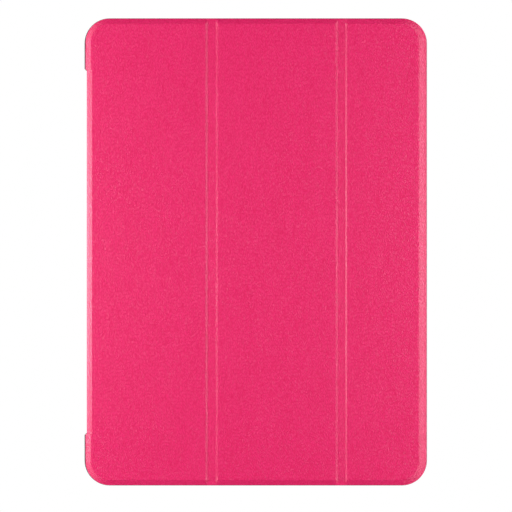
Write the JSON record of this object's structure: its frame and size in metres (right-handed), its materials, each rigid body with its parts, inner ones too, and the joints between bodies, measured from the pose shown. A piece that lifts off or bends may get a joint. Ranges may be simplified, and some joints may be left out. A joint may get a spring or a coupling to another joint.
{
  "type": "tablet case",
  "caption": "Folio case for a tablet: a hard shell with a leather cover of three boarded panels that opens at a creased spine and folds to a triangular stand.",
  "frame": {"origin": "under the middle of the back, on the surface the closed case lies on", "axes": "+X from the spine to the free edge, +Y to the top end, +Z out of the front cover"},
  "size_m": [0.184, 0.251, 0.0119],
  "materials": {
    "leather": "pink grained synthetic leather, soft sheen",
    "shell_plastic": "moulded dark grey polycarbonate, fine satin",
    "lining": "brushed microfibre, dark grey",
    "board": "pressed stiffening board",
    "steel": "plain thin steel",
    "magnet": "nickel plated magnet"
  },
  "bodies": {
    "shell": {"back_shell": "shell_plastic", "back_leather": "leather", "tray_lining": "lining"},
    "spine": {"spine_leather": "leather", "spine_board": "board", "spine_lining": "lining", "front_crease_leather": "leather", "back_crease_leather": "leather"},
    "panel_one": {"panel_one_leather": "leather", "panel_one_board": "board", "panel_one_lining": "lining", "stand_strip": "steel"},
    "band_one": {"band_one_leather": "leather", "band_one_lining": "lining"},
    "panel_two": {"panel_two_leather": "leather", "panel_two_board": "board", "panel_two_lining": "lining"},
    "band_two": {"band_two_leather": "leather", "band_two_lining": "lining"},
    "panel_three": {"panel_three_leather": "leather", "panel_three_board": "board", "panel_three_lining": "lining", "closure_magnets": "magnet", "wake_magnet": "magnet"}
  },
  "joints": [
    {"name": "spine_back_crease", "type": "hinge", "parent": "shell", "child": "spine", "pos_m": [-0.0899, 0, 0.001], "axis": [0, -1, 0], "range_deg": [0, 179], "deforming": ["back_crease_leather"]},
    {"name": "spine_front_crease", "type": "hinge", "parent": "spine", "child": "panel_one", "pos_m": [-0.0899, 0, 0.0108], "axis": [0, -1, 0], "range_deg": [0, 179], "deforming": ["front_crease_leather"]},
    {"name": "fold_one_left", "type": "hinge", "parent": "panel_one", "child": "band_one", "pos_m": [-0.0263, 0, 0.0102], "axis": [0, 1, 0], "range_deg": [0, 70.27]},
    {"name": "fold_one_right", "type": "hinge", "parent": "band_one", "child": "panel_two", "pos_m": [-0.0209, 0, 0.0102], "axis": [0, 1, 0], "range_deg": [0, 70.27]},
    {"name": "fold_two_left", "type": "hinge", "parent": "panel_two", "child": "band_two", "pos_m": [0.0434, 0, 0.0102], "axis": [0, 1, 0], "range_deg": [0, 68.74]},
    {"name": "fold_two_right", "type": "hinge", "parent": "band_two", "child": "panel_three", "pos_m": [0.0484, 0, 0.0102], "axis": [0, 1, 0], "range_deg": [0, 68.74]}
  ],
  "couplings": [
    {"joint": "fold_one_left", "follows": "spine_back_crease", "ratio": 0.39256},
    {"joint": "fold_one_right", "follows": "spine_back_crease", "ratio": 0.39256},
    {"joint": "fold_two_left", "follows": "spine_back_crease", "ratio": 0.38402},
    {"joint": "fold_two_right", "follows": "spine_back_crease", "ratio": 0.38402}
  ]
}
